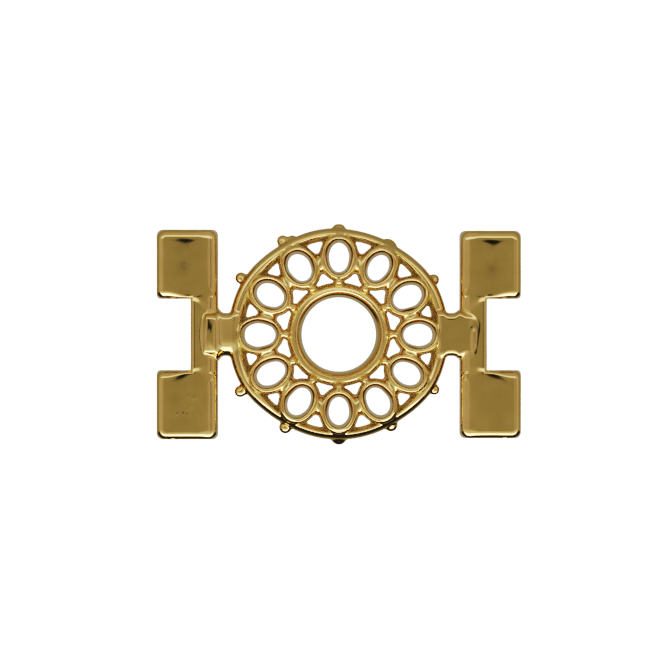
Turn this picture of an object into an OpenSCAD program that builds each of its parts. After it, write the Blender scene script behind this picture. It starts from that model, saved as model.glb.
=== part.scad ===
// Bead connector: a pierced rosette between two notched end bars, cast in one piece.
// Millimetres. X runs from bar to bar, Y along the bars, and Z up from the flat back.

/* [Overall] */
// Length from the outer face of one bar to that of the other
connector_length = 26.8; // [25.6:0.1:28]
// Thickness of the end bars at the crown of their tops
bar_thickness = 2.4; // [2.2:0.1:2.8]

/* [End bars] */
// Length of each end bar, the width of three square beads side by side
bar_length = 15.3; // [14.6:0.1:16.4]
// Width of each end bar across its lugs
bar_width = 4.55; // [4.3:0.05:4.8]
// Width of the notch that takes the middle bead
notch_width = 5.2; // [5:0.05:5.4]
// Depth of that notch
notch_depth = 2.5; // [2.3:0.05:2.7]
// Diameter of the thread hole through both lugs
thread_hole_d = 1.0; // [0.8:0.05:1.2]
// Rise of the crowned top from the edges to the middle of a lug
crown_rise = 0.15; // [0.05:0.05:0.2]
// Rounding of the lug edges round the top
lug_edge_r = 0.35; // [0.25:0.05:0.4]
// Rounding of the two long edges of the web between the lugs
web_edge_r = 0.6; // [0.4:0.05:0.7]
// Rounding of the upright corners
corner_r = 0.5; // [0.4:0.05:0.6]

/* [Necks] */
// Width of the neck between a bar and the rosette
neck_width = 3.2; // [2.8:0.1:3.6]
// Height of the neck's top
neck_height = 2.5; // [2.4:0.05:2.6]
// How far the neck's tab laps onto the bar
tab_lap = 1.1; // [0.9:0.05:1.3]
// Rounding of the tab's upper edges
tab_edge_r = 0.3; // [0.2:0.05:0.4]
// Radius of the throat between a bar and the rosette
throat_r = 0.5; // [0.4:0.05:0.6]

/* [Rosette] */
// Outer radius of the rim
rim_r = 7.83; // [7.7:0.01:8]
// Width of the rim
rim_width = 0.8; // [0.7:0.05:0.9]
// Height of the rim's rounded top
rim_height = 2.05; // [1.8:0.05:2.2]
// Radius of the hole in the middle
hole_r = 2.75; // [2.6:0.05:2.9]
// Width of the ring round that hole
ring_width = 1.0; // [0.9:0.05:1.1]
// Height of the ring's rounded top
ring_height = 1.95; // [1.7:0.05:2.1]

/* [Petals] */
// Number of oval petals
petal_count = 12; // [12:12:12]
// Distance of a petal's middle from the axis
petal_place = 5.77; // [5.7:0.01:5.85]
// Half the width of a petal, along the wire's middle
petal_half_width = 1.145; // [1.1:0.005:1.18]
// How many times longer than wide a petal is
petal_stretch = 1.22; // [1.18:0.01:1.26]
// Width of the petal's wire at the petal's sides
petal_wire = 0.69; // [0.6:0.01:0.72]
// Height of the petal's rounded top
petal_height = 2.2; // [2:0.05:2.3]
// Half the length of the window through a petal
window_half_length = 1.08; // [1:0.01:1.12]
// Half the width of that window
window_half_width = 0.8; // [0.76:0.01:0.84]
// Inner radius of the bridges between petals
bridge_from = 4.78; // [4.7:0.01:4.9]
// Outer radius of the bridges between petals
bridge_to = 6.14; // [6:0.01:6.2]
// Width of those bridges
bridge_width = 0.9; // [0.8:0.05:1]
// Height of those bridges
bridge_height = 1.8; // [1.6:0.05:1.9]
// Radius at which a prong's rounded tip ends, on the ring
prong_tip = 3.6; // [3.5:0.01:3.65]
// Width of a prong
prong_width = 0.62; // [0.5:0.02:0.7]
// Height of a prong
prong_height = 2.2; // [2.1:0.05:2.4]

/* [Hidden] */
$fn = 48;

gold = [0.80, 0.62, 0.27];
overlap = 0.05;      // how far joined solids run into each other
block_height = 1.9;  // height of the neck's block, under its tab
bead_level = 1.15;   // height of the rim beads' middles
bead_neck_r = 0.25;  // radius of the stalk that joins a bead to the rim

// The cast beads round the rim, as they came out of the mould.
// Columns: angle, radius that the bead reaches to, radius of the bead
rim_beads = [
    [30, 8.43, 0.33],
    [60, 8.08, 0.36],
    [90, 8.11, 0.42],
    [120, 8.40, 0.38],
    [150, 8.68, 0.31],
    [210, 8.74, 0.30],
    [240, 8.34, 0.34],
    [270, 8.11, 0.42],
    [300, 8.15, 0.38],
    [330, 8.45, 0.33]
];

bar_outer = connector_length / 2;
bar_inner = bar_outer - bar_width;
bar_middle = bar_outer - bar_width / 2;
web_outer = bar_outer - notch_depth;
crown_r = bar_width * bar_width / 8 / crown_rise;
thread_hole_x = bar_outer - notch_depth / 2;
thread_hole_z = bar_thickness / 2;
above = bar_thickness + 1;

// A rectangle from the X axis up, with its two upper corners rounded.
module rounded_top(left, right, height, left_r, right_r) {
    union() {
        translate([left, 0])
            square([left_r, height - left_r]);
        translate([left + left_r, 0])
            square([right - left - left_r - right_r, height]);
        translate([right - right_r, 0])
            square([right_r, height - right_r]);
        translate([left + left_r, height - left_r])
            circle(left_r);
        translate([right - right_r, height - right_r])
            circle(right_r);
    }
}

// A rectangle centred on the origin, with its four corners rounded.
module rounded_rectangle(width, length, radius) {
    union() {
        square([width - 2 * radius, length], center = true);
        square([width, length - 2 * radius], center = true);
        for (x = [-1, 1], y = [-1, 1])
            translate([x * (width / 2 - radius), y * (length / 2 - radius)])
                circle(radius);
    }
}

// What a notch's section takes away above a rounded edge at the origin, the solid lying to the left.
module edge_waste(radius) {
    translate([-radius, -radius])
        difference() {
            square([radius, 2 * radius]);
            circle(radius);
        }
}

// A wire's section, standing on the X axis: straight sides and a half-round top.
module wire_section(width, height) {
    translate([-width / 2, 0])
        square([width, height - width / 2]);
    translate([0, height - width / 2])
        intersection() {
            circle(width / 2);
            translate([-width / 2, 0])
                square([width, width / 2]);
        }
}

// Half of that section, with one side on the Y axis.
module half_wire_section(width, height) {
    intersection() {
        wire_section(width, height);
        square([width / 2, height]);
    }
}

// A petal's oval wire, its length along X.
module petal() {
    scale([petal_stretch, 1, 1])
        rotate_extrude()
            translate([petal_half_width, 0])
                wire_section(petal_wire, petal_height);
}

module window() {
    translate([0, 0, -1])
        linear_extrude(petal_height + 2)
            scale([window_half_length, window_half_width])
                circle(1);
}

// The prong at a petal's inner end, which laps onto the ring. It points along -X.
module prong() {
    tip_middle = prong_tip + prong_width / 2;
    root = petal_place - petal_stretch * petal_half_width;
    translate([tip_middle, 0, 0]) {
        rotate_extrude()
            half_wire_section(prong_width, prong_height);
        rotate([90, 0, 90])
            linear_extrude(root - tip_middle)
                wire_section(prong_width, prong_height);
    }
}

module petals() {
    step = 360 / petal_count;
    for (i = [0 : petal_count - 1])
        rotate([0, 0, i * step]) {
            translate([petal_place, 0, 0])
                petal();
            prong();
            rotate([0, 0, step / 2])
                translate([bridge_from, -bridge_width / 2, 0])
                    cube([bridge_to - bridge_from, bridge_width, bridge_height]);
        }
}

module windows() {
    for (i = [0 : petal_count - 1])
        rotate([0, 0, i * 360 / petal_count])
            translate([petal_place, 0, 0])
                window();
}

module rim() {
    rotate_extrude()
        translate([rim_r - rim_width / 2, 0])
            wire_section(rim_width, rim_height);
}

module ring() {
    rotate_extrude()
        translate([hole_r + ring_width / 2, 0])
            wire_section(ring_width, ring_height);
}

module beads() {
    for (bead = rim_beads)
        rotate([0, 0, bead[0]])
            translate([0, 0, bead_level]) {
                translate([bead[1] - bead[2], 0, 0])
                    sphere(bead[2]);
                translate([rim_r - rim_width / 2, 0, 0])
                    rotate([0, 90, 0])
                        cylinder(h = bead[1] - bead[2] - rim_r + rim_width / 2, r = bead_neck_r);
            }
}

// The bar at +X before its notch is cut: its outline, its crowned section and its ends, all cut together.
module bar_blank() {
    intersection() {
        translate([bar_middle, 0, 0])
            linear_extrude(bar_thickness)
                rounded_rectangle(bar_width, bar_length, corner_r);
        rotate([90, 0, 0])
            translate([0, 0, -bar_length])
                linear_extrude(2 * bar_length)
                    intersection() {
                        rounded_top(bar_inner, bar_outer, bar_thickness, web_edge_r, lug_edge_r);
                        translate([bar_middle, bar_thickness - crown_r])
                            circle(crown_r);
                    }
        rotate([90, 0, 90])
            linear_extrude(bar_outer)
                rounded_top(-bar_length / 2, bar_length / 2, bar_thickness, lug_edge_r, lug_edge_r);
    }
}

// What is cut away for the notch at +X, with rounded edges left on the lugs and on the web.
module notch() {
    rotate([90, 0, 90])
        translate([0, 0, web_outer])
            linear_extrude(notch_depth + 1) {
                translate([-notch_width / 2, -1])
                    square([notch_width, above + 1]);
                for (side = [0, 1])
                    mirror([side, 0])
                        translate([-notch_width / 2, bar_thickness])
                            edge_waste(lug_edge_r);
            }
    translate([0, notch_width / 2, 0])
        rotate([90, 0, 0])
            linear_extrude(notch_width)
                translate([web_outer, bar_thickness])
                    edge_waste(web_edge_r);
}

// The neck at +X: a block with a rounded throat on each side, and a tab from the rim onto the bar.
module neck() {
    waist = neck_width / 2;
    side = waist + throat_r;
    throat_outer = bar_inner - throat_r;
    throat_inner = sqrt(pow(rim_r + throat_r, 2) - pow(side, 2)) - overlap;
    from = rim_r - rim_width / 2;
    to = bar_inner + tab_lap;
    difference() {
        translate([from, -side, 0])
            cube([bar_inner - from + overlap, 2 * side, block_height]);
        for (turn = [0, 1])
            mirror([0, turn, 0])
                translate([0, side, -1])
                    linear_extrude(above + 1) {
                        translate([throat_inner, 0])
                            circle(throat_r);
                        translate([throat_outer, 0])
                            circle(throat_r);
                        translate([throat_inner, -throat_r])
                            square([throat_outer - throat_inner, 2 * throat_r]);
                    }
    }
    intersection() {
        translate([(from + to) / 2, 0, 0])
            linear_extrude(neck_height)
                rounded_rectangle(to - from, neck_width, corner_r);
        rotate([90, 0, 90])
            linear_extrude(bar_outer)
                rounded_top(-neck_width / 2, neck_width / 2, neck_height, tab_edge_r, tab_edge_r);
    }
}

module end_bar() {
    difference() {
        bar_blank();
        notch();
    }
    neck();
}

module thread_hole() {
    translate([thread_hole_x, bar_length, thread_hole_z])
        rotate([90, 0, 0])
            cylinder(d = thread_hole_d, h = 2 * bar_length);
}

module connector() {
    color(gold)
        difference() {
            union() {
                rim();
                ring();
                petals();
                beads();
                end_bar();
                mirror([1, 0, 0])
                    end_bar();
            }
            windows();
            thread_hole();
            mirror([1, 0, 0])
                thread_hole();
        }
}

connector();
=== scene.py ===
"""Bead connector: a pierced rosette between two notched end bars, one gold-plated casting.

Sizes are in metres where a user sets them and in millimetres inside the shape functions.
X runs from bar to bar, Y along the bars, and Z up from the flat back.
"""
import math

import bpy
import numpy as np
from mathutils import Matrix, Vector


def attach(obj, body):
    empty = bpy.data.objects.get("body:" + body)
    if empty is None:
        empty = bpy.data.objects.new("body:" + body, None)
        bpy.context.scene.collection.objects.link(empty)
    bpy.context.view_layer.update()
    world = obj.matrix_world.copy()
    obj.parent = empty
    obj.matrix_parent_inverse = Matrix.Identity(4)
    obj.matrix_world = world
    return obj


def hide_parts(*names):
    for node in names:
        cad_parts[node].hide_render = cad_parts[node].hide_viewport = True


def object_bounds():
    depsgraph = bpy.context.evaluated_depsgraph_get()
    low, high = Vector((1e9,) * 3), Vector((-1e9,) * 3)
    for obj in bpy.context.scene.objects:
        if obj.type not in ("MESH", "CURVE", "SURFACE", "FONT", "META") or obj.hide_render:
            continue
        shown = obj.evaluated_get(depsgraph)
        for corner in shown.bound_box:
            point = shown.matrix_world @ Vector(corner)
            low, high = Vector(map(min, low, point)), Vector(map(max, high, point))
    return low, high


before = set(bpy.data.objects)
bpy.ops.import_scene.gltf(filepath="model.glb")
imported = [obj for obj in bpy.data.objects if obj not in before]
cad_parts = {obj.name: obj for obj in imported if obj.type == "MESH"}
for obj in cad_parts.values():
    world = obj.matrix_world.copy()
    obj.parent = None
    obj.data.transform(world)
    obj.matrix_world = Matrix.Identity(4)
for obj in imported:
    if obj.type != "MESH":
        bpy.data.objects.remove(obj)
SOLID_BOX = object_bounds()

bl_info = {
    "name": "Bead Connector",
    "version": (1, 0, 0),
    "blender": (4, 5, 0),
    "location": "View3D > Sidebar > Bead Connector",
    "description": "A gold-plated casting: a pierced rosette between two notched end bars",
    "category": "Add Mesh",
}

MM = 0.001

# How far inside the CAD's box the bars' outer faces lie, in millimetres
SKIN_INSET = 0.002

# The petals, no two quite alike as cast. Columns: angle in degrees, distance of the window's middle,
# half the window's length, half its width.
PETALS = (
    (-0.4, 5.83, 1.05, 0.79),
    (28.6, 5.75, 1.07, 0.79),
    (59.3, 5.70, 0.97, 0.68),
    (89.8, 5.66, 1.05, 0.72),
    (120.2, 5.69, 1.01, 0.78),
    (150.1, 5.80, 1.02, 0.79),
    (180.4, 5.83, 1.15, 0.84),
    (209.9, 5.75, 1.09, 0.76),
    (239.4, 5.72, 1.04, 0.76),
    (270.1, 5.63, 1.00, 0.73),
    (300.4, 5.70, 1.04, 0.78),
    (330.2, 5.77, 1.02, 0.76),
)

# The cast beads round the rim, one of them with a lump of casting metal beside it. Columns: angle in
# degrees, radius reached, radius of the bead, how far it is drawn out to each side, height of its middle.
RIM_BEADS = (
    (30, 8.43, 0.40, 0.0, 1.15),
    (60.5, 7.95, 0.58, 0.05, 1.00),
    (90, 8.10, 0.42, 0.08, 1.10),
    (117, 8.07, 0.33, 0.1, 1.20),
    (121, 8.41, 0.43, 0.0, 1.10),
    (150, 8.70, 0.42, 0.0, 1.15),
    (210, 8.76, 0.42, 0.0, 1.15),
    (240, 8.31, 0.46, 0.0, 0.85),
    (270, 8.10, 0.60, 0.0, 0.55),
    (300, 8.14, 0.50, 0.0, 0.75),
    (330, 8.46, 0.38, 0.0, 1.15),
)


# Sizes, colours and the studio, as a user would set them


class RosetteSizes(bpy.types.PropertyGroup):
    rim_radius: bpy.props.FloatProperty(
        name="Rim radius",
        description="Outer radius of the rim at the back",
        default=7.83 * MM,
        unit="LENGTH",
    )
    rim_width: bpy.props.FloatProperty(
        name="Rim width",
        description="Width of the rim at the back",
        default=0.92 * MM,
        unit="LENGTH",
    )
    rim_height: bpy.props.FloatProperty(
        name="Rim height",
        description="Height of the rim's top",
        default=2.0 * MM,
        unit="LENGTH",
    )
    hole_radius: bpy.props.FloatProperty(
        name="Hole radius",
        description="Radius of the open middle",
        default=2.70 * MM,
        unit="LENGTH",
    )
    ring_width: bpy.props.FloatProperty(
        name="Ring width",
        description="Width of the ring round the open middle",
        default=1.15 * MM,
        unit="LENGTH",
    )
    ring_height: bpy.props.FloatProperty(
        name="Ring height",
        description="Height of the ring's crest",
        default=1.95 * MM,
        unit="LENGTH",
    )
    petal_length: bpy.props.FloatProperty(
        name="Petal half length",
        description="Half the length of a petal's outline",
        default=1.80 * MM,
        unit="LENGTH",
    )
    petal_width: bpy.props.FloatProperty(
        name="Petal half width",
        description="Half the width of a petal's outline",
        default=1.50 * MM,
        unit="LENGTH",
    )
    petal_height: bpy.props.FloatProperty(
        name="Petal height",
        description="Height of a petal's crest",
        default=2.26 * MM,
        unit="LENGTH",
    )
    cell: bpy.props.FloatProperty(
        name="Cell",
        description="Spacing of the grid that the surface is worked out on",
        default=0.07 * MM,
        unit="LENGTH",
    )


class BarSizes(bpy.types.PropertyGroup):
    outer: bpy.props.FloatProperty(
        name="Outer face",
        description="Distance of a bar's outer face from the axis",
        default=SOLID_BOX[1][0] - SKIN_INSET * MM,
        unit="LENGTH",
    )
    width: bpy.props.FloatProperty(
        name="Width",
        description="Width of a bar across its lugs",
        default=4.55 * MM,
        unit="LENGTH",
    )
    length: bpy.props.FloatProperty(
        name="Length",
        description="Length of a bar",
        default=15.3 * MM,
        unit="LENGTH",
    )
    thickness: bpy.props.FloatProperty(
        name="Thickness",
        description="Height of a bar's crowned top",
        default=2.4 * MM,
        unit="LENGTH",
    )
    notch_width: bpy.props.FloatProperty(
        name="Notch width",
        description="Width of the notch that takes a bead",
        default=5.2 * MM,
        unit="LENGTH",
    )
    notch_depth: bpy.props.FloatProperty(
        name="Notch depth",
        description="Depth of the notch that takes a bead",
        default=2.5 * MM,
        unit="LENGTH",
    )
    hole: bpy.props.FloatProperty(
        name="Thread hole",
        description="Diameter of the hole through both lugs",
        default=1.0 * MM,
        unit="LENGTH",
    )
    cell: bpy.props.FloatProperty(
        name="Cell",
        description="Spacing of the grid that the surface is worked out on",
        default=0.08 * MM,
        unit="LENGTH",
    )


# The plating's colour and roughness, and the painted shade and painted highlight colours laid on it
class GoldFinish(bpy.types.PropertyGroup):
    color: bpy.props.FloatVectorProperty(
        name="Gold",
        description="Colour of the plating",
        subtype="COLOR",
        size=3,
        default=(0.86, 0.65, 0.26),
        min=0,
        max=1,
    )
    # Painted shade: a darker, oranger gold laid on the hollows, standing in for the shade and the light
    # bounced between the walls there
    painted_shade_color: bpy.props.FloatVectorProperty(
        name="Gold in painted shade",
        description="Colour of the plating in the hollows, where polish and grime stay",
        subtype="COLOR",
        size=3,
        default=(0.63, 0.53, 0.17),
        min=0,
        max=1,
    )
    # Painted highlight: a paler gold laid on the sharp crests, where the glints of the lamps fall
    painted_highlight_color: bpy.props.FloatVectorProperty(
        name="Gold in painted highlight",
        description="Colour of the plating on the crests, where polish has bared it",
        subtype="COLOR",
        size=3,
        default=(0.92, 0.74, 0.38),
        min=0,
        max=1,
    )
    roughness: bpy.props.FloatProperty(
        name="Roughness",
        description="Roughness of the polished plating",
        default=0.07,
        min=0,
        max=1,
        subtype="FACTOR",
    )


class Studio(bpy.types.PropertyGroup):
    view_width: bpy.props.FloatProperty(
        name="View width",
        description="Width of the floor that the camera sees",
        default=48.9 * MM,
        unit="LENGTH",
    )
    camera_height: bpy.props.FloatProperty(
        name="Camera height",
        description="Height of the camera over the floor",
        default=0.32,
        unit="LENGTH",
    )
    floor_color: bpy.props.FloatVectorProperty(
        name="Floor",
        description="Colour of the floor",
        subtype="COLOR",
        size=3,
        default=(0.16, 0.16, 0.16),
        min=0,
        max=1,
    )


# Shapes, in millimetres. What a function named a distance gives is below zero inside the metal.


def rounded(a, b, radius):
    """Where two walls meet: the larger of two distances, with the edge between them rounded."""
    return np.minimum(np.maximum(a, b), -radius) + np.hypot(
        np.maximum(a + radius, 0), np.maximum(b + radius, 0)
    )


def cast_together(a, b, fillet):
    """Two solids cast as one: the smaller of two distances, less a parabola across the joint."""
    joint = np.maximum(fillet - np.abs(a - b), 0) / fillet
    return np.minimum(a, b) - joint * joint * fillet / 4


def ease(value, start, end):
    """A smooth step from 0 to 1: 3t^2 - 2t^3, with t the part of the way from start to end."""
    t = np.clip((value - start) / (end - start), 0, 1)
    return t * t * (3 - 2 * t)


def flank(wall, top, radius, rise):
    """A wall that meets a top in an oval edge, radius wide and rise times as deep."""
    return rounded(wall, top / rise, radius)


def slanted(across, up, normal):
    """A slanted plane: the way across and the way up, each times its part of the plane's normal."""
    return normal[0] * across + normal[1] * up


def oval_distance(u, v, half_length, half_width):
    """Distance to an ellipse: its level less one, over the length of the level's slope.

    The two small numbers keep both divisions away from zero in the middle."""
    level = np.sqrt((u / half_length) ** 2 + (v / half_width) ** 2) + 1e-6
    slope = np.hypot(u / half_length**2, v / half_width**2) / level + 1e-3
    return (level - 1) / slope


# Normals of the steep and the gentle bevels: the part across and the part up
STEEP = (0.82, 0.57)
GENTLE = (0.47, 0.88)

# The inner half of a petal's wire, measured outwards from the wall of its window
LIP_WIDTH = 0.36
STEP_END = 0.56
STEP_DROP = 0.035
BAND_SLOPE = 0.05
WINDOW_BEVEL = 0.08
UPPER_WINDOW_BEVEL = 0.11
WINDOW_BEVEL_DEPTH = 0.27
WINDOW_BEVEL_EDGE = 0.08
WINDOW_DRAFT = 0.09
WINDOW_EDGE = 0.1

# Its outer half, and its end on the rim
DOME_START = 0.42
DOME_CURVE = 1.1
PETAL_END = 1.28
PETAL_END_SLOPE = 0.45
PETAL_DRAFT = 0.07
PETAL_EDGE = 0.14
PETAL_EDGE_RISE = 1.2


def petal_distance(u, v, z, north, half_length, half_width, sizes):
    """A petal: a wire round an oval window, with a flat lip, a small step down and a domed outer half.

    A steep bevel runs round the window. It is wider along the upper side, where the mould was pulled
    askew. The petal's end on the rim slopes down."""
    up = z - sizes.petal_height / MM
    wall = oval_distance(u, v, half_length, half_width)
    top = up + STEP_DROP * ease(wall, LIP_WIDTH, STEP_END)
    top = top + BAND_SLOPE * np.maximum(wall - LIP_WIDTH, 0)
    dome = DOME_CURVE * np.maximum(wall - DOME_START, 0) ** 2
    top = top + np.maximum(dome, PETAL_END_SLOPE * np.maximum(u - PETAL_END, 0))
    bevel_width = WINDOW_BEVEL + UPPER_WINDOW_BEVEL * ease(north, -0.5, 0.6)
    bevel = slanted(bevel_width - wall, up + WINDOW_BEVEL_DEPTH, STEEP)
    inner_wall = rounded(WINDOW_DRAFT * z - wall, bevel, WINDOW_BEVEL_EDGE)
    inner = flank(inner_wall, top, WINDOW_EDGE, 1.0)
    out = oval_distance(u, v, sizes.petal_length / MM, sizes.petal_width / MM)
    return np.maximum(inner, flank(out + PETAL_DRAFT * z, top, PETAL_EDGE, PETAL_EDGE_RISE))


def petal_number(r, angle, z, number, sizes):
    """The petal that stands at a place in the table, counted round from the first."""
    turn, place, half_length, half_width = np.array(PETALS).T[:, number % len(PETALS)]
    off = angle - np.radians(turn)
    off = off - 2 * math.pi * np.round(off / (2 * math.pi))
    north = r * np.sin(angle) - place * np.sin(np.radians(turn))
    u, v = r * np.cos(off) - place, r * np.sin(off)
    return petal_distance(u, v, z, north, half_length, half_width, sizes)


# The ring's section, measured outwards from the hole and down from the crest
RING_OFF_CENTRE = 0.04
STEEP_WIDTH = 0.31
STEEP_DEPTH = 0.17
GENTLE_WIDTH = 0.38
GENTLE_DEPTH = 0.07
RING_CREST = 0.48
RING_SLOPE = 0.14
RING_DRAFT = 0.12
RING_BEVEL_EDGE = 0.05
RING_EDGE = 0.24


def ring_distance(x, y, z, sizes):
    """The ring round the open middle: a leaning wall, two bevels that lie a little off centre, a flat top
    that falls away outwards, and a rounded outer edge."""
    r = np.hypot(x, y)
    hole = sizes.hole_radius / MM
    up = z - sizes.ring_height / MM
    beyond = np.hypot(x - RING_OFF_CENTRE, y) - hole
    steep = slanted(STEEP_WIDTH - beyond, up + STEEP_DEPTH, STEEP)
    gentle = slanted(GENTLE_WIDTH - beyond, up + GENTLE_DEPTH, GENTLE)
    top = up + RING_SLOPE * (beyond - RING_CREST)
    inner = rounded(hole - r + RING_DRAFT * z, steep, RING_BEVEL_EDGE)
    inner = rounded(inner, gentle, RING_BEVEL_EDGE)
    outer = r - hole - sizes.ring_width / MM + RING_DRAFT * z
    return np.maximum(np.maximum(inner, top), flank(outer, top, RING_EDGE, 1.0))


# The bridges, the blocks between neighbouring petals
BRIDGE_PLACE = 5.42
BRIDGE_HALF_LENGTH = 0.52
BRIDGE_HALF_WIDTH = 0.4
BRIDGE_HEIGHT = 2.0
BRIDGE_SLOPE = 0.06
BRIDGE_EDGE = 0.42


def bridge_distance(along, across, z):
    """A bridge between two petals: a block with round ends, whose top slopes down towards the rim."""
    past = along - BRIDGE_PLACE
    plan = rounded(
        np.abs(past) - BRIDGE_HALF_LENGTH, across - BRIDGE_HALF_WIDTH, BRIDGE_HALF_WIDTH
    )
    return rounded(plan, z - BRIDGE_HEIGHT + BRIDGE_SLOPE * past, BRIDGE_EDGE)


# The prongs, from the inner ends of the petals onto the ring
PRONG_TIP = 3.89
PRONG_ROOT = 4.08
PRONG_RADIUS = 0.34
PRONG_DRAFT = 0.03
PRONG_ABOVE_PETAL = 0.02
PRONG_EDGE = 0.4
KNOB_SWELL = 0.09
KNOB_END = 4.05


def prong_distance(along, across, z, sizes):
    """A prong: an upright rod drawn out along the petal's axis, swollen to a knob at its inner end."""
    knob = KNOB_SWELL * ease(KNOB_END - along, 0, 0.25)
    rod = np.hypot(across, along - np.clip(along, PRONG_TIP, PRONG_ROOT)) - PRONG_RADIUS
    top = z - sizes.petal_height / MM - PRONG_ABOVE_PETAL
    return flank(rod - knob + PRONG_DRAFT * z, top, PRONG_EDGE, 1.0)


# The rim's outline: how it swells at the upper left and flares into the necks, with angles in degrees
RIM_INSET = 0.08
SWELL = 0.12
SWELL_ANGLE = 150
FLARE = 0.32
FLARE_LOST_IN_SWELL = 0.05
FLARE_START = 24
FLARE_END = 60

# The rim's section, measured inwards from its outer wall
RIM_RIDGE = 0.42
LOWER_RIDGE_SHIFT = 0.3
RIM_SLOPE = 0.25
RIM_RIDGE_BLUNTNESS = 0.03
RIM_CURVE = 0.5
RIM_CURVE_SHIFT = 0.2
RIM_OUTER_DRAFT = 0.05
RIM_OUTER_EDGE = 0.3
RIM_OUTER_EDGE_RISE = 1.3
RIM_INNER_DRAFT = 0.15
RIM_INNER_EDGE = 0.16
RIM_INNER_EDGE_RISE = 1.2


def rim_reach(angle, radius):
    """The rim's outer radius: as cast, it widens into the necks and is a little full at the upper left."""
    off_axis = np.degrees(np.arcsin(np.abs(np.sin(angle))))
    full = ease(np.cos(angle - math.radians(SWELL_ANGLE)), 0.25, 0.7)
    flare = FLARE - FLARE_LOST_IN_SWELL * full
    return radius - RIM_INSET + SWELL * full + flare * (1 - ease(off_axis, FLARE_START, FLARE_END))


def rim_distance(r, angle, z, sizes):
    """The rim: two leaning walls and a top like a roof, both sides of which bend down as parabolas.

    Along the lower side of the rosette the ridge lies further in."""
    inside = (sizes.rim_radius - sizes.rim_width) / MM
    outer_wall = r - rim_reach(angle, sizes.rim_radius / MM) + RIM_OUTER_DRAFT * z
    inner_wall = inside - r + RIM_INNER_DRAFT * z
    ridge = outer_wall + RIM_RIDGE + LOWER_RIDGE_SHIFT * ease(-np.sin(angle), 0.4, 1.0)
    top = z - sizes.rim_height / MM + RIM_SLOPE * np.hypot(ridge, RIM_RIDGE_BLUNTNESS)
    top = top + (RIM_CURVE - RIM_CURVE_SHIFT * np.sin(angle)) * ridge**2
    return np.maximum(
        flank(outer_wall, top, RIM_OUTER_EDGE, RIM_OUTER_EDGE_RISE),
        flank(inner_wall, top, RIM_INNER_EDGE, RIM_INNER_EDGE_RISE),
    )


# Radius at which the rim's beads are rooted
BEAD_ROOT = 7.45


def bead_distance(r, angle, z, bead):
    """A bead: a ball, drawn out along the rim and back into it."""
    turn, reach, radius, spread, level = bead
    off = angle - math.radians(turn)
    stalk = reach - radius - BEAD_ROOT
    out = r * np.cos(off) - reach + radius
    out = out - np.clip(out, -stalk, 0)
    aside = np.maximum(np.abs(r * np.sin(off)) - spread, 0)
    return np.sqrt(out**2 + aside**2 + (z - level) ** 2) - radius


# How softly each sub-part of the rosette runs into the others. The rim's fillet is smaller outside.
PETAL_FILLET = 0.4
BRIDGE_FILLET = 0.5
RING_FILLET = 0.15
PRONG_FILLET = 0.12
RIM_FILLET = 0.25
RIM_FILLET_LOST = 0.13
BEAD_FILLET = 0.2


def rosette_distance(x, y, z, sizes):
    """Distance to the rosette: petals, bridges, ring, prongs, rim and beads, cast together.

    Each point is set against its own petal and the nearer of the two beside it."""
    r = np.hypot(x, y)
    angle = np.arctan2(y, x)
    sector = 2 * math.pi / len(PETALS)
    number = np.round(angle / sector).astype(int)
    off = angle - number * sector
    beside = number + np.where(off > 0, 1, -1)
    own_petal = petal_number(r, angle, z, number, sizes)
    solid = cast_together(own_petal, petal_number(r, angle, z, beside, sizes), PETAL_FILLET)

    half_sector_off = sector / 2 - np.abs(off)
    bridge = bridge_distance(r * np.cos(half_sector_off), r * np.sin(half_sector_off), z)
    solid = cast_together(solid, bridge, BRIDGE_FILLET)
    solid = cast_together(solid, ring_distance(x, y, z, sizes), RING_FILLET)
    prong = prong_distance(r * np.cos(off), r * np.abs(np.sin(off)), z, sizes)
    solid = cast_together(solid, prong, PRONG_FILLET)
    rim_fillet = RIM_FILLET - RIM_FILLET_LOST * ease(r, 7.0, 7.3)
    solid = cast_together(solid, rim_distance(r, angle, z, sizes), rim_fillet)
    for bead in RIM_BEADS:
        solid = cast_together(solid, bead_distance(r, angle, z, bead), BEAD_FILLET)
    return solid


# An end bar's top: its crown, the ridge of each lug and the lower web
CROWN_SHIFT = 0.5
CROWN_REACH = 2.3
CROWN_FALL = 0.12
LUG_SLOPE = 0.056
UPPER_RIDGE = 0.8
UPPER_RIDGE_BLUNTNESS = 0.2
LOWER_RIDGE = 0.5
LOWER_RIDGE_SLANT = 0.4
LOWER_RIDGE_BLUNTNESS = 0.35
LOWER_LUG_DROP = 0.11
WEB_DROP = 0.15
WEB_SLOPE = 0.03


def bar_sag(out, y, middle, half, notch, web_outer):
    """How far a bar's top falls below its crown.

    It falls away to both long sides as a parabola. Each lug falls from a ridge near its upper end,
    as a hyperbola does, and the web between them lies lower, its edges fading towards the rosette."""
    past_crown = out - middle - CROWN_SHIFT
    lower_ridge = -notch - LOWER_RIDGE - LOWER_RIDGE_SLANT * np.maximum(past_crown, -1.0)
    ridge = np.where(y > 0, half - UPPER_RIDGE, lower_ridge)
    bluntness = np.where(y > 0, UPPER_RIDGE_BLUNTNESS, LOWER_RIDGE_BLUNTNESS)
    lug = LUG_SLOPE * (np.hypot(y - ridge, bluntness) - bluntness)
    lug = lug + np.where(y > 0, 0, LOWER_LUG_DROP)
    fade = ease(web_outer - out, 0.3, 2.2)
    edge = notch - 0.3 * np.maximum(web_outer - out, 0)
    on_lug = ease(np.abs(y), edge - 0.1 - fade, edge + 0.3 + 2 * fade)
    web = WEB_DROP + WEB_SLOPE * (web_outer - out)
    return CROWN_FALL * (past_crown / CROWN_REACH) ** 2 + web + (lug - web) * on_lug


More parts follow.
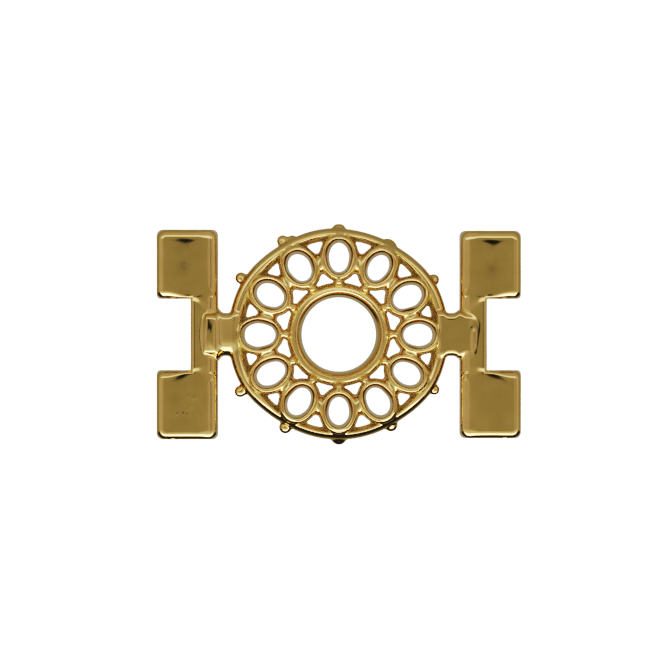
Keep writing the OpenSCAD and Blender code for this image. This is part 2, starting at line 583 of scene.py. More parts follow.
# An end bar's walls, corners and edges. The edge on the rosette's side is wider and flatter, and that at the
# notch narrows into the web.
LEFT_HALF_LONGER = 0.07
RIGHT_HALF_SHORTER = 0.01
BAR_TOP = 2.4
BAR_DRAFT = 0.04
CORNER_RADIUS = 0.45
CORNER_GROWTH = 0.12
NOTCH_CORNER_RADIUS = 0.3
NOTCH_CORNER_GROWTH = 0.1
INNER_EDGE = 0.66
OUTER_EDGE_LESS = 0.16
WEB_EDGE_LESS = 0.40
INNER_EDGE_RISE = 0.6
OUTER_EDGE_RISE_MORE = 0.4
NOTCH_EDGE = 0.5
NOTCH_EDGE_LOST = 0.34
NOTCH_EDGE_REACH = 1.8
WEB_LAP = 2.6


def bar_distance(x, y, z, side, sizes):
    """Distance to an end bar: two lugs with crowned tops and drafted walls, on a web."""
    out = side * x
    outer, inner = sizes.outer / MM, (sizes.outer - sizes.width) / MM
    middle = (outer + inner) / 2
    half = sizes.length / MM / 2 + (LEFT_HALF_LONGER if side < 0 else -RIGHT_HALF_SHORTER)
    web_outer = outer - sizes.notch_depth / MM
    notch = sizes.notch_width / MM / 2
    top = z - sizes.thickness / MM + bar_sag(out, y, middle, half, notch, web_outer)
    draft = BAR_DRAFT * z
    up = np.clip(z, 0, BAR_TOP)
    plan = rounded(
        np.abs(out - middle) - (outer - inner) / 2 + draft,
        np.abs(y) - half + draft,
        CORNER_RADIUS + CORNER_GROWTH * up,
    )
    side_of_notch = notch - np.abs(y) + draft
    lug_plan = rounded(plan, side_of_notch, NOTCH_CORNER_RADIUS + NOTCH_CORNER_GROWTH * up)
    outwards = ease(out, inner + 0.7, inner + 1.5)
    edge = INNER_EDGE - OUTER_EDGE_LESS * outwards
    into_web = ease(web_outer + NOTCH_EDGE_REACH - out, 0, NOTCH_EDGE_REACH)
    notch_edge = NOTCH_EDGE - NOTCH_EDGE_LOST * into_web
    edge = edge + (notch_edge - edge) * ease(side_of_notch - plan, -0.4, 0.2)
    rise = INNER_EDGE_RISE + OUTER_EDGE_RISE_MORE * outwards
    lugs = flank(lug_plan, top, edge, rise)
    web_plan = np.maximum(
        np.maximum(inner - out, out - web_outer) + draft, np.abs(y) - notch - WEB_LAP
    )
    web = flank(web_plan, top, INNER_EDGE - WEB_EDGE_LESS * outwards, rise)
    return np.minimum(lugs, web)


# The necks between the rim and the bars. The right one ends in a pad, the left one under a cushion.
NECK_HALF_WIDTH = 1.6
NECK_ROOT = 7.25
NECK_ROOT_EDGE = 0.3
NECK_DRAFT = 0.04
NECK_END_CORNER = 1.1
NECK_EDGE = 0.4
THROAT_RADIUS = 0.5
THROAT_START = 7.6
THROAT_END = 8.85
BAR_SIDE = 9.4
PAD_HEIGHT = 2.28
PAD_TILT = 0.06
PAD_CURVE = 0.13
PAD_CURVE_START = 9.35
PAD_END = 10.55
LEFT_NECK_HEIGHT = 2.14
LEFT_NECK_CLIMB = 0.14
LEFT_NECK_START = 7.4
LEFT_NECK_CURVE = 0.03
LEFT_NECK_END = 9.6
LOWER_FALL = 0.28
LOWER_FALL_START = 0.8
LOWER_FALL_BLUNTNESS = 0.35


def lower_fall(y):
    """How far the left neck falls away along its lower side: a hyperbola."""
    below = -LOWER_FALL_START - y
    return LOWER_FALL * (below + np.hypot(below, LOWER_FALL_BLUNTNESS))


def saddle_distance(x, y, z, side):
    """Distance to a neck's saddle, which climbs from the rim.

    It widens in a rounded throat at either end. The right one goes on over the bar as a low pad that
    sinks into it; the left one falls away along its lower side."""
    out = side * x
    if side > 0:
        top = z - PAD_HEIGHT + PAD_CURVE * np.maximum(out - PAD_CURVE_START, 0) ** 2
        top = top + PAD_TILT * (NECK_HALF_WIDTH - y)
        end = PAD_END
    else:
        top = z - LEFT_NECK_HEIGHT - LEFT_NECK_CLIMB * (out - LEFT_NECK_START)
        top = top + LEFT_NECK_CURVE * y**2
        top = top + lower_fall(y) * ease(9.0 - out, 0, 0.6)
        end = LEFT_NECK_END
    into_throat = np.clip(np.minimum(out - THROAT_START, THROAT_END - out), 0.12, THROAT_RADIUS)
    widening = THROAT_RADIUS - np.sqrt(THROAT_RADIUS**2 - (THROAT_RADIUS - into_throat) ** 2)
    half = NECK_HALF_WIDTH + widening * (1 - ease(out, THROAT_END, BAR_SIDE))
    plan = rounded(np.abs(y) - half + NECK_DRAFT * z, out - end, NECK_END_CORNER)
    return rounded(rounded(plan, top, NECK_EDGE), NECK_ROOT - np.hypot(x, y), NECK_ROOT_EDGE)


# The cushion at the left, with its crown at CUSHION_CROWN_X out and CUSHION_CROWN_Y up
CUSHION_HEIGHT = 2.5
CUSHION_CROWN_X = 9.6
CUSHION_CROWN_Y = 0.65
CUSHION_CURVE = 0.12
CUSHION_FALL = 0.075
CUSHION_BLUNTNESS = 0.9
CUSHION_LOWER_FALL = 0.3
CUSHION_SLOPE_START = 9.66
CUSHION_SLOPE = 0.8
CUSHION_MIDDLE = 9.5
CUSHION_HALF_LENGTH = 0.75
CUSHION_HALF_WIDTH = 1.48
CUSHION_CORNER = 0.4
CUSHION_EDGE = 0.36


def cushion_distance(x, y, z):
    """Distance to the cushion at the left that laps onto the bar and ends in a slope down to it.

    Its top falls from the crown as a parabola across the bar and as a hyperbola along it."""
    out = -x
    up = z - CUSHION_HEIGHT
    fall = CUSHION_FALL * (np.hypot(y - CUSHION_CROWN_Y, CUSHION_BLUNTNESS) - CUSHION_BLUNTNESS)
    top = up + CUSHION_CURVE * (out - CUSHION_CROWN_X) ** 2 + fall
    top = top + CUSHION_LOWER_FALL * lower_fall(y)
    slope = up + (CUSHION_SLOPE + 0.5 * (y / 1.4) ** 2) * (out - CUSHION_SLOPE_START)
    top = rounded(top, slope, 0.04)
    ends = np.abs(out - CUSHION_MIDDLE) - CUSHION_HALF_LENGTH + 0.1 * (y / 1.5) ** 2
    plan = rounded(np.abs(y) - CUSHION_HALF_WIDTH, ends, CUSHION_CORNER)
    return rounded(plan, top, CUSHION_EDGE)


# The mark on the right neck where the metal froze short, and how high the waves of the whole skin are
FLOW_MARK_X = 9.84
FLOW_MARK_WIDTH = 0.15
FLOW_MARK_HEIGHT = 0.09
WAVE_HEIGHT = 0.0015

# Small knocks on the lower left lug. Columns: x, y.
KNOCKS = (
    (-10.95, -4.53),
    (-10.68, -4.66),
    (-10.44, -4.62),
    (-10.93, -5.20),
    (-10.74, -5.30),
    (-11.02, -5.45),
    (-11.80, -5.83),
    (-11.34, -5.80),
    (-11.06, -5.88),
)
KNOCK_WIDTH = 0.12
KNOCK_HEIGHT = 0.0065


def flow_mark(x, y):
    """Height of the flow mark: a bell curve across, drawn out downwards to a drop."""
    across = np.exp(-(((x - FLOW_MARK_X) / FLOW_MARK_WIDTH) ** 2))
    return FLOW_MARK_HEIGHT * across * ease(-y, -0.7, 0.05) * ease(y, -1.9, -0.2)


def knocks(x, y):
    """Height of the knocked specks: a low bell curve at each place in the table."""
    height = np.zeros_like(x)
    for place_x, place_y in KNOCKS:
        height += np.exp(-((x - place_x) ** 2 + (y - place_y) ** 2) / KNOCK_WIDTH**2)
    return KNOCK_HEIGHT * height


def waves(x, y, z):
    """The skin's unevenness from the mould: four slow waves that cross each other."""
    return (
        np.sin(1.9 * x + 0.6 * y + 0.4)
        + np.sin(0.7 * x - 1.6 * y + 1.3)
        + np.sin(3.1 * x + 2.3 * y + 2.0 * z)
        + np.sin(2.2 * x - 3.4 * y + 1.1)
    )


def where_near(near, function, x, y, z):
    """A distance worked out only where near is true; elsewhere it is far off, a plain 2 mm."""
    result = np.full(near.shape, 2.0)
    if near.any():
        result[near] = function(x[near], y[near], z[near])
    return result


# Where the rosette is worked out to, where the bars are worked out from, and how softly they are joined
ROSETTE_REACH = 9.6
BARS_FROM = 6.4
LEFT_SADDLE_FILLET = 0.4
RIGHT_SADDLE_FILLET = 0.15
BAR_FILLET = 0.2
CUSHION_FILLET = 0.18
BACK_EDGE = 0.08
HOLE_EDGE = 0.08


def casting_distance(points, rosette, bars):
    """Distance to the whole casting, its thread holes cut and its back edges eased."""
    x, y, z = points
    near = np.abs(x) < ROSETTE_REACH
    solid = where_near(near, lambda *p: rosette_distance(*p, rosette), x, y, z)
    for side, fillet in ((-1, LEFT_SADDLE_FILLET), (1, RIGHT_SADDLE_FILLET)):
        near = side * x > BARS_FROM
        bar = where_near(near, lambda *p: bar_distance(*p, side, bars), x, y, z)
        saddle = where_near(near, lambda *p: saddle_distance(*p, side), x, y, z)
        solid = cast_together(solid, cast_together(bar, saddle, fillet), BAR_FILLET)
    cushion = where_near(x < -BARS_FROM, cushion_distance, x, y, z)
    solid = cast_together(solid, cushion, CUSHION_FILLET)
    solid = solid + WAVE_HEIGHT * waves(x, y, z) - knocks(x, y) - flow_mark(x, y)
    solid = rounded(solid, -z, BACK_EDGE)
    hole_place = (bars.outer - bars.notch_depth / 2) / MM
    hole = np.hypot(np.abs(x) - hole_place, z - bars.thickness / MM / 2)
    return rounded(solid, bars.hole / MM / 2 - hole, HOLE_EDGE)


def slope_of(points, distance, step=0.02):
    """The distance's slope, from its values a step to either side along each axis."""
    slope = np.empty_like(points)
    for axis in range(3):
        move = np.zeros((3, 1))
        move[axis] = step
        slope[axis] = (distance(points + move) - distance(points - move)) / (2 * step)
    return slope


def settle(points, distance, reach):
    """Points slid twice down the distance's slope, by reach at most, onto the surface where it is zero."""
    for _ in range(2):
        slope = slope_of(points, distance)
        size = np.maximum((slope**2).sum(axis=0), 0.05)
        points = points - np.clip(distance(points) / size, -reach, reach) * slope
    return points


def evened(points, faces):
    """Each point moved to the mean of the middles of the faces round it."""
    middles = points[:, faces].mean(axis=2)
    count = np.bincount(faces.ravel(), minlength=points.shape[1])
    return np.stack(
        [
            np.bincount(faces.ravel(), np.repeat(m, 4), points.shape[1]) / count
            for m in middles
        ]
    )


def cell_points(values, grid):
    """A point for each cell that the surface crosses, the mean of its edges' crossings, and the number of
    each cell's point, -1 where it has none."""
    inside = values < 0
    shape = tuple(n - 1 for n in values.shape)
    total = np.zeros(shape + (3,))
    count = np.zeros(shape)
    corners = np.array(grid)
    for axis in range(3):
        first = [slice(None)] * 3
        second = [slice(None)] * 3
        first[axis], second[axis] = slice(None, -1), slice(1, None)
        first, second = tuple(first), tuple(second)
        cut = inside[first] != inside[second]
        fall = np.where(cut, values[first] - values[second], 1)
        part = np.where(cut, values[first] / fall, 0)
        start = corners[(slice(None),) + first]
        place = start + part * (corners[(slice(None),) + second] - start)
        place = np.where(cut, place, 0)
        others = [k for k in range(3) if k != axis]
        for i in (0, 1):
            for j in (0, 1):
                pick = [slice(None)] * 3
                for k, o in zip(others, (i, j)):
                    pick[k] = slice(o, o + shape[k])
                pick = tuple(pick)
                count += cut[pick]
                total += np.moveaxis(place[(slice(None),) + pick], 0, -1)
    used = count > 0
    number = np.full(shape, -1, dtype=np.int64)
    number[used] = np.arange(used.sum())
    return (total[used] / count[used][:, None]).T, number


def edge_faces(inside, number):
    """A face for each grid edge that the surface crosses, through the points of the four cells round it.

    Its corners run the other way round where the edge enters the metal, so that it faces outwards."""
    faces = []
    for axis in range(3):
        one, two = (axis + 1) % 3, (axis + 2) % 3
        first = [slice(1, -1)] * 3
        second = [slice(1, -1)] * 3
        first[axis], second[axis] = slice(0, -1), slice(1, None)
        start, end = inside[tuple(first)], inside[tuple(second)]
        place = np.argwhere(start != end)
        leaving = start[tuple(place.T)]
        place[:, one] += 1
        place[:, two] += 1
        corners = []
        for i, j in ((-1, -1), (0, -1), (0, 0), (-1, 0)):
            cell_at = place.copy()
            cell_at[:, one] += i
            cell_at[:, two] += j
            corners.append(number[tuple(cell_at.T)])
        face = np.stack(corners, axis=1)
        face[~leaving] = face[~leaving][:, ::-1]
        faces.append(face)
    return np.concatenate(faces)


def skin(distance, axes):
    """The surface where a distance is zero, on a grid with the given x, y and z lines.

    Its points slide down the distance's slope onto the surface, and twice they are evened out and
    slide back."""
    grid = np.meshgrid(*axes, indexing="ij")
    values = distance(grid)
    points, number = cell_points(values, grid)
    faces = edge_faces(values < 0, number)
    reach = (axes[0][1] - axes[0][0]) / 2
    points = settle(points, distance, reach)
    for _ in range(2):
        points = settle(evened(points, faces), distance, reach)
    return points, faces


# The grid's lowest and highest lines, those about the back's rounded edge, and where the tops begin
GRID_FLOOR = -0.2
GRID_TOP = 2.8
BACK_LINES = (-0.06, 0.04, 0.14)
TOPS_FROM = 1.25


def levels(step, coarse):
    """Grid lines up the Z axis: coarse up the walls, and a step apart over the tops."""
    walls = np.arange(BACK_LINES[-1] + coarse, TOPS_FROM, coarse)
    walls = np.concatenate([[GRID_FLOOR, *BACK_LINES], walls])
    return np.concatenate([walls, np.arange(walls[-1] + step, GRID_TOP + step, step)])


# How far out a point looks for other walls, and how far in it looks for the far side of an edge
LOOK_OUT = (0.2, 0.45, 0.9)
LOOK_IN = 0.12


def hollow_and_crest(points, distance, normals, size):
    """How deep a point lies among others, and how sharp the edge is that it stands on, from 0 to 1.

    Along the normal the distance grows by as much as one moves, less where walls stand near. Into
    the metal it falls by as much, less where an edge is sharp."""
    hollow = np.zeros(points.shape[1])
    for far in LOOK_OUT:
        hollow += 1 - np.clip(distance(points + far * normals) / (far * size), 0, 1)
    deep = -distance(points - LOOK_IN * normals) / (LOOK_IN * size)
    return hollow / len(LOOK_OUT), 1 - np.clip(deep, 0, 1)


def add_mesh(name, points, faces, distance, material):
    """A new object from points in millimetres and faces, shaded by the distance's own slope."""
    slope = slope_of(points, distance)
    size = np.maximum(np.sqrt((slope**2).sum(axis=0)), 0.05)
    normals = slope / size
    mesh = bpy.data.meshes.new(name)
    mesh.from_pydata(points.T * MM, [], faces)
    mesh.polygons.foreach_set("use_smooth", np.ones(len(mesh.polygons), dtype=bool))
    # The hollow and crest values steer the gold's roughness and bareness, its painted shade in the hollows
    # and its painted highlight on the crests
    for label, values in zip(
        ("hollow", "crest"), hollow_and_crest(points, distance, normals, size)
    ):
        layer = mesh.attributes.new(label, "FLOAT", "POINT")
        layer.data.foreach_set("value", values.astype(np.float32))
    mesh.normals_split_custom_set_from_vertices(normals.T)
    mesh.materials.append(material)
    mesh.update()
    obj = bpy.data.objects.new(name, mesh)
    bpy.context.scene.collection.objects.link(obj)
    return obj


# The finish, with painted shade in the hollows and a painted highlight on the crests


def new_group(name, takes, gives):
    """An empty shader node group with its sockets, and its two end nodes."""
    group = bpy.data.node_groups.new(name, "ShaderNodeTree")
    for label, kind, default in takes:
        item = group.interface.new_socket(name=label, in_out="INPUT", socket_type=kind)
        if default is not None:
            item.default_value = default
    for label, kind in gives:
        group.interface.new_socket(name=label, in_out="OUTPUT", socket_type=kind)
    return group, group.nodes.new("NodeGroupInput"), group.nodes.new("NodeGroupOutput")


def add_node(tree, kind, settings=None, inputs=None):
    """A node with its settings made and its inputs set or linked."""
    node = tree.nodes.new(kind)
    for key, value in (settings or {}).items():
        setattr(node, key, value)
    for key, value in (inputs or {}).items():
        if isinstance(value, bpy.types.NodeSocket):
            tree.links.new(value, node.inputs[key])
        else:
            node.inputs[key].default_value = value
    return node


def worked(tree, kind, a, b=0):
    """What a and b give when they are worked out in the given way, such as ADD."""
    return add_node(tree, "ShaderNodeMath", {"operation": kind}, {0: a, 1: b}).outputs[0]


def product(tree, first, *others):
    """The values multiplied together, from left to right."""
    for other in others:
        first = worked(tree, "MULTIPLY", first, other)
    return first


def rest_of(tree, part):
    """What a part leaves of one."""
    return worked(tree, "SUBTRACT", 1, part)


def smooth_step(tree, value, start, end, low=0.0, high=1.0):
    """A smooth step from low to high, as the value goes from start to end."""
    node = add_node(
        tree,
        "ShaderNodeMapRange",
        {"interpolation_type": "SMOOTHSTEP"},
        {"Value": value, "From Min": start, "From Max": end, "To Min": low, "To Max": high},
    )
    return node.outputs[0]


def mixed(tree, part, a, b, kind="MIX"):
    """Two colours blended by a part, as a mix or as a product."""
    node = add_node(tree, "ShaderNodeMix", {"data_type": "RGBA", "blend_type": kind})
    for place, value in (("Factor_Float", part), ("A_Color", a), ("B_Color", b)):
        target = next(i for i in node.inputs if i.identifier == place)
        if isinstance(value, bpy.types.NodeSocket):
            tree.links.new(value, target)
        else:
            target.default_value = value
    return next(o for o in node.outputs if o.identifier == "Result_Color")


# The skin's texture, in millimetres, the tint of its mottling, and that of light that grazes a wall
WAVE_SIZE = 1.3
GRAIN_SIZE = 0.16
PIT_SIZE = 0.5
BUMP_DEPTH = 0.02
BUMP_STRENGTH = 0.12
MOTTLE_TINT = (0.90, 0.88, 0.80, 1)
GRAZING_TINT = (0.95, 0.89, 0.74, 1)


def casting_texture():
    """Group: the skin of a polished casting, with soft waves, fine grain and a few pin holes."""
    floats = ("Wave size", "Grain size", "Pit size")
    group, start, end = new_group(
        "casting_texture",
        [("Place", "NodeSocketVector", None)] + [(f, "NodeSocketFloat", 1.0) for f in floats],
        [("Height", "NodeSocketFloat"), ("Mottle", "NodeSocketFloat")],
    )
    scales = [worked(group, "DIVIDE", 1.0, start.outputs[name]) for name in floats]
    waves = add_node(
        group,
        "ShaderNodeTexNoise",
        inputs={"Vector": start.outputs["Place"], "Scale": scales[0], "Detail": 3.0},
    ).outputs[0]
    grain = add_node(
        group,
        "ShaderNodeTexNoise",
        inputs={"Vector": start.outputs["Place"], "Scale": scales[1], "Detail": 2.0},
    ).outputs[0]
    cells = add_node(
        group,
        "ShaderNodeTexVoronoi",
        inputs={"Vector": start.outputs["Place"], "Scale": scales[2]},
    )
    few = smooth_step(group, waves, 0.58, 0.62)
    pits = product(group, smooth_step(group, cells.outputs["Distance"], 0.16, 0.05), few)
    height = worked(group, "ADD", product(group, waves, 0.6), product(group, grain, 0.25))
    height = worked(group, "SUBTRACT", height, product(group, pits, 0.5))
    group.links.new(height, end.inputs["Height"])
    mottle = worked(group, "ADD", product(group, waves, 0.7), product(group, grain, 0.3))
    group.links.new(smooth_step(group, mottle, 0.35, 0.65), end.inputs["Mottle"])
    return group


def plating_tone():
    """Group: the plating's colour, with painted shade in the hollows, a painted highlight on the crests, and
    mottling.
    """
    takes = [(c, "NodeSocketColor", None) for c in ("Gold", "Gold in painted shade", "Gold in painted highlight")]
    takes += [(f, "NodeSocketFloat", 0.0) for f in ("Hollow", "Crest", "Mottle")]
    group, start, end = new_group("plating_tone", takes, [("Color", "NodeSocketColor")])
    # Painted shade: how far the hollows darken towards the shaded gold
    depth = smooth_step(group, start.outputs["Hollow"], 0.15, 0.9)
    # Painted highlight: how far the sharp crests pale towards the highlight gold
    crest_highlight = smooth_step(group, start.outputs["Crest"], 0.1, 0.8, 0.0, 0.5)

    tone = mixed(group, crest_highlight, start.outputs["Gold"], start.outputs["Gold in painted highlight"])
    tone = mixed(group, depth, tone, start.outputs["Gold in painted shade"])
    shade = product(group, start.outputs["Mottle"], 0.5)
    tone = mixed(group, shade, tone, MOTTLE_TINT, "MULTIPLY")
    group.links.new(tone, end.inputs["Color"])
    return group


def polish():
    """Group: how rough and how bare the plating is: smooth on the crests that the wheel rubs, rough and
    filmed over with old polish in the hollows that the wheel can't reach."""
    floats = ("Roughness", "Hollow", "Crest", "Mottle")
    group, start, end = new_group(
        "polish",
        [(f, "NodeSocketFloat", 0.1) for f in floats],
        [("Roughness", "NodeSocketFloat"), ("Bare", "NodeSocketFloat")],
    )
    unpolished = smooth_step(group, start.outputs["Hollow"], 0.2, 0.45, 0.0, 0.4)
    rough = worked(group, "ADD", start.outputs["Roughness"], unpolished)
    rough = worked(group, "ADD", rough, product(group, start.outputs["Mottle"], 0.04))
    rough = worked(group, "SUBTRACT", rough, product(group, start.outputs["Crest"], 0.03))
    group.links.new(rough, end.inputs["Roughness"])
    bare = smooth_step(group, start.outputs["Hollow"], 0.25, 0.5, 1.0, 0.38)
    group.links.new(bare, end.inputs["Bare"])
    return group


def gold_material(finish):
    """Polished gold plating over a casting."""
    material = bpy.data.materials.get("polished_gold")
    if material:
        return material
    material = bpy.data.materials.new("polished_gold")
    material.use_nodes = True
    tree = material.node_tree
    shader = tree.nodes["Principled BSDF"]
    place = add_node(tree, "ShaderNodeTexCoord").outputs["Object"]
    hollow = add_node(tree, "ShaderNodeAttribute", {"attribute_name": "hollow"}).outputs["Fac"]
    crest = add_node(tree, "ShaderNodeAttribute", {"attribute_name": "crest"}).outputs["Fac"]
    texture = add_node(
        tree,
        "ShaderNodeGroup",
        {"node_tree": casting_texture()},
        {
            "Place": place,
            "Wave size": WAVE_SIZE * MM,
            "Grain size": GRAIN_SIZE * MM,
            "Pit size": PIT_SIZE * MM,
        },
    )
    # The tone paints shade into the hollows and a highlight onto the crests
    tone = add_node(
        tree,
        "ShaderNodeGroup",
        {"node_tree": plating_tone()},
        {
            "Gold": (*finish.color, 1),
            "Gold in painted shade": (*finish.painted_shade_color, 1),
            "Gold in painted highlight": (*finish.painted_highlight_color, 1),
            "Hollow": hollow,
            "Crest": crest,
            "Mottle": texture.outputs["Mottle"],
        },
    )
    rough = add_node(
        tree,
        "ShaderNodeGroup",
        {"node_tree": polish()},
        {
            "Roughness": finish.roughness,
            "Hollow": hollow,
            "Crest": crest,
            "Mottle": texture.outputs["Mottle"],
        },
    )
    bump = add_node(
        tree,
        "ShaderNodeBump",
        inputs={
            "Strength": BUMP_STRENGTH,
            "Distance": BUMP_DEPTH * MM,
            "Height": texture.outputs["Height"],
        },
    )
    shader.inputs["Specular Tint"].default_value = GRAZING_TINT
    tree.links.new(tone.outputs["Color"], shader.inputs["Base Color"])
    tree.links.new(rough.outputs["Roughness"], shader.inputs["Roughness"])
    tree.links.new(rough.outputs["Bare"], shader.inputs["Metallic"])
    tree.links.new(bump.outputs["Normal"], shader.inputs["Normal"])
    return material


# The light

# The light tent's soft boxes, laid out on a ceiling one unit up. Columns: from x, to x, from y, to y,
# softness, brightness.
SOFTBOXES = (
    (-1.2, 1.2, 0.18, 0.70, 0.15, 1.2),
    (-2.2, 2.2, -3.8, -0.85, 0.5, 3.3),
    (-2.4, 2.4, -3.0, -0.15, 0.5, 0.35),
    (-3.6, -1.5, -2.0, 2.0, 0.5, 0.12),
    (1.6, 4.0, -2.0, 2.0, 0.5, 0.12),
)

# A dark strip between the boxes, laid out in the same way, with the share of the light that it takes
STRIP = (0.62, 0.84, -0.6, 0.6, 0.06)
STRIP_SHADE = 0.5

# The tent's own brightness about the lens and away from it, the share of it that is left far out, and its
# colour away from the lens
TENT_MIDDLE = 0.51
TENT = 0.68
TENT_FAR = 0.85
TENT_COLOR = (1, 0.97, 1.2, 1)
WHITE = (1, 1, 1, 1)

# What the walls of the casting reflect: the floor, brightest straight down, and, low in the south, a dark
# room that takes a share of the light
FLOOR_ASIDE = 0.5
FLOOR_BELOW = 0.56
ROOM_SHADE = 0.87

# How light is shown. Columns: light, brightness shown.
FILM_WHITE = 3.0
FILM = (
    (0.15, 0.045),
    (0.33, 0.180),
    (0.43, 0.275),
    (0.62, 0.45),
    (1.0, 0.62),
    (1.4, 0.75),
    (1.82, 0.88),
    (2.5, 0.98),
)


def light_tent():
    """A world with soft boxes overhead, a dim room round them, and a dark lens straight up.

    A direction's place on the ceiling is its X and its Y, each over its Z."""
    world = bpy.data.worlds.new("light_tent")
    world.use_nodes = True
    tree = world.node_tree
    place = add_node(tree, "ShaderNodeTexCoord")
    split = add_node(
        tree, "ShaderNodeSeparateXYZ", inputs={"Vector": place.outputs["Generated"]}
    )
    height = split.outputs["Z"]
    above_zero = worked(tree, "MAXIMUM", height, 0.02)
    x = worked(tree, "DIVIDE", split.outputs["X"], above_zero)
    y = worked(tree, "DIVIDE", split.outputs["Y"], above_zero)
    squares = worked(tree, "ADD", product(tree, x, x), product(tree, y, y))
    reach = worked(tree, "SQRT", squares)

    def box(x0, x1, y0, y1, soft):
        return product(
            tree,
            smooth_step(tree, x, x0, x0 + soft),
            smooth_step(tree, x, x1, x1 - soft),
            smooth_step(tree, y, y0, y0 + soft),
            smooth_step(tree, y, y1, y1 - soft),
        )

    light = smooth_step(tree, reach, 0.1, 0.4, TENT_MIDDLE, TENT)
    light = product(tree, light, smooth_step(tree, reach, 1.5, 6.0, 1.0, TENT_FAR))
    for *place, bright in SOFTBOXES:
        light = worked(tree, "ADD", light, product(tree, box(*place), bright))
    light = product(tree, light, rest_of(tree, product(tree, box(*STRIP), STRIP_SHADE)))
    lens = smooth_step(tree, reach, 0.05, 0.075, 0.03, 1.0)
    light = product(tree, light, lens)

    below = smooth_step(tree, height, 0.1, -0.05)
    ground = smooth_step(tree, height, -0.8, -0.97, FLOOR_ASIDE, FLOOR_BELOW)
    above = product(tree, light, rest_of(tree, below))
    light = worked(tree, "ADD", above, product(tree, ground, below))
    southern = smooth_step(tree, split.outputs["Y"], -0.2, -0.45)
    steep = smooth_step(tree, height, 0.25, 0.15)
    floorward = smooth_step(tree, height, -0.5, -0.8)
    dark = product(tree, southern, steep, ROOM_SHADE, rest_of(tree, floorward))
    light = product(tree, light, rest_of(tree, dark))

    background = tree.nodes["Background"]
    color = mixed(tree, smooth_step(tree, reach, 0.1, 0.4), WHITE, TENT_COLOR)
    tree.links.new(mixed(tree, below, color, WHITE), background.inputs["Color"])
    tree.links.new(light, background.inputs["Strength"])
    return world


# The operators, the panel and the run

# The rosette's two grids, which lap over the X axis, and the bars' grids
ROSETTE_GRID_X = 8.8
ROSETTE_GRID_Y = 8.4
ROSETTE_WALL_STEP = 0.2
LAP = 0.3
BAR_GRID_FROM_X = 8.0
BAR_GRID_TO_X = 13.6
BAR_GRID_Y = 7.9
BAR_WALL_STEP = 0.12

# Where rosette and bars end in the necks, and how fast a piece sinks out of sight past its end
ROSETTE_END = 8.4
BAR_END = 8.38
SINK = 0.3


def build(name, axes, overlap):
    """A piece of the casting: its skin on a grid, sunk out of sight where overlap is above zero."""
    scene = bpy.context.scene

    def whole(points):
        return casting_distance(points, scene.connector_rosette, scene.connector_bars)

    points, faces = skin(lambda p: whole(p) + SINK * np.maximum(overlap(p), 0), axes)
    material = gold_material(scene.connector_gold)
    piece = add_mesh(name, points, faces, whole, material)
    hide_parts("connector")
    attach(piece, "root")
    return piece


class BuildRosette(bpy.types.Operator):
    """Add the rosette in two halves: rim, ring, petals, bridges, prongs, beads and half of each neck"""

    bl_idname = "connector.rosette"
    bl_label = "Rosette"

    def execute(self, context):
        cell = context.scene.connector_rosette.cell / MM
        for side, name in ((1, "upper_rosette"), (-1, "lower_rosette")):
            start, end = sorted((side * -LAP, side * ROSETTE_GRID_Y))
            axes = (
                np.arange(-ROSETTE_GRID_X, ROSETTE_GRID_X, cell),
                np.arange(start, end, cell),
                levels(cell, ROSETTE_WALL_STEP),
            )
            build(
                name,
                axes,
                lambda p, side=side: np.maximum(np.abs(p[0]) - ROSETTE_END, -side * p[1]),
            )
        return {"FINISHED"}


class BuildBars(bpy.types.Operator):
    """Add the two end bars, each with its tab and half of its neck"""

    bl_idname = "connector.bars"
    bl_label = "End bars"

    def execute(self, context):
        cell = context.scene.connector_bars.cell / MM
        for side, name in ((-1, "left_bar"), (1, "right_bar")):
            start, end = sorted((side * BAR_GRID_FROM_X, side * BAR_GRID_TO_X))
            axes = (
                np.arange(start, end, cell),
                np.arange(-BAR_GRID_Y, BAR_GRID_Y, cell),
                levels(cell, BAR_WALL_STEP),
            )
            build(name, axes, lambda p, side=side: BAR_END - side * p[0])
        return {"FINISHED"}


def expose(view):
    """The camera's film: a soft toe and a long shoulder, so that dark gold is rich and glints go pale."""
    view.use_curve_mapping = True
    film = view.curve_mapping
    film.white_level = (FILM_WHITE,) * 3
    curve = film.curves[3]
    for light, shown in FILM:
        curve.points.new(light / FILM_WHITE, shown)
    film.update()


# The floor's glow, and where on the part the photo's middle lies, in millimetres
FLOOR_GLOW = 3.0
AIM_X = -0.463
AIM_Y = 0.144


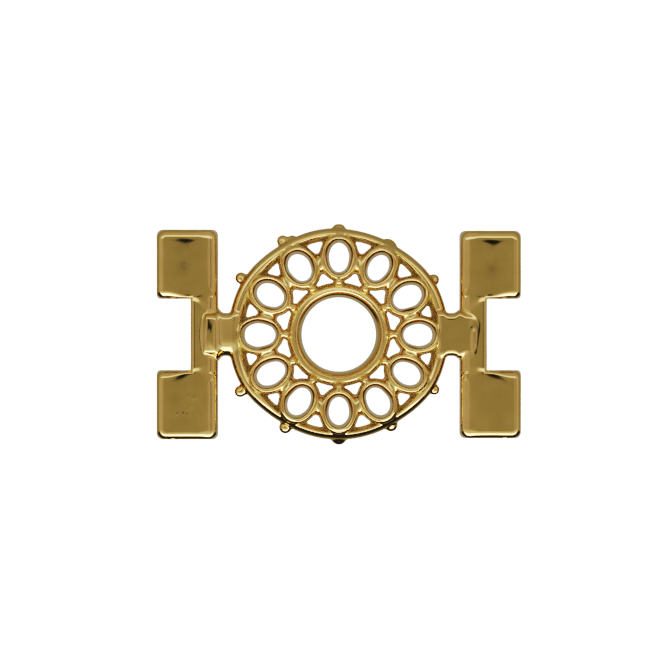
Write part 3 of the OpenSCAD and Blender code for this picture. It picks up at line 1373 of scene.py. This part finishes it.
class BuildStage(bpy.types.Operator):
    """Add the floor, the light and the camera"""

    bl_idname = "connector.stage"
    bl_label = "Stage"

    def execute(self, context):
        scene = context.scene
        studio = scene.connector_studio
        scene.view_settings.view_transform = "Standard"
        expose(scene.view_settings)

        mesh = bpy.data.meshes.new("floor")
        corners = [(-1, -1, 0), (1, -1, 0), (1, 1, 0), (-1, 1, 0)]
        mesh.from_pydata(corners, [], [(0, 1, 2, 3)])
        floor = bpy.data.objects.new("floor", mesh)
        scene.collection.objects.link(floor)
        paper = bpy.data.materials.new("floor_paper")
        paper.use_nodes = True
        shader = paper.node_tree.nodes["Principled BSDF"]
        shader.inputs["Base Color"].default_value = (*studio.floor_color, 1)
        shader.inputs["Roughness"].default_value = 0.9
        shader.inputs["Specular IOR Level"].default_value = 0.1
        shader.inputs["Emission Color"].default_value = WHITE
        shader.inputs["Emission Strength"].default_value = FLOOR_GLOW
        mesh.materials.append(paper)
        floor.visible_glossy = False
        scene.world = light_tent()

        camera = bpy.data.cameras.new("camera")
        camera.sensor_fit = "HORIZONTAL"
        camera.angle_x = 2 * math.atan(studio.view_width / 2 / studio.camera_height)
        camera.clip_start = 0.01
        camera_object = bpy.data.objects.new("camera", camera)
        camera_object.location = (AIM_X * MM, AIM_Y * MM, studio.camera_height)
        scene.collection.objects.link(camera_object)
        scene.camera = camera_object
        return {"FINISHED"}


class ConnectorPanel(bpy.types.Panel):
    """The connector's pieces and sizes"""

    bl_idname = "VIEW3D_PT_bead_connector"
    bl_label = "Bead Connector"
    bl_space_type = "VIEW_3D"
    bl_region_type = "UI"
    bl_category = "Bead Connector"

    def draw(self, context):
        for item in OPERATORS:
            self.layout.operator(item.bl_idname)


OPERATORS = (BuildRosette, BuildBars, BuildStage)
CLASSES = (RosetteSizes, BarSizes, GoldFinish, Studio, *OPERATORS, ConnectorPanel)
SETTINGS = {
    "connector_rosette": RosetteSizes,
    "connector_bars": BarSizes,
    "connector_gold": GoldFinish,
    "connector_studio": Studio,
}


def register():
    """Make the add-on's classes known, and give each scene its settings."""
    for item in CLASSES:
        bpy.utils.register_class(item)
    for name, group in SETTINGS.items():
        setattr(bpy.types.Scene, name, bpy.props.PointerProperty(type=group))


def unregister():
    """Take the settings and the classes away again."""
    for name in SETTINGS:
        delattr(bpy.types.Scene, name)
    for item in reversed(CLASSES):
        bpy.utils.unregister_class(item)


def main():
    """Build the connector and its stage."""
    register()
    bpy.ops.connector.rosette()
    bpy.ops.connector.bars()
    bpy.ops.connector.stage()


if __name__ == "__main__":
    main()
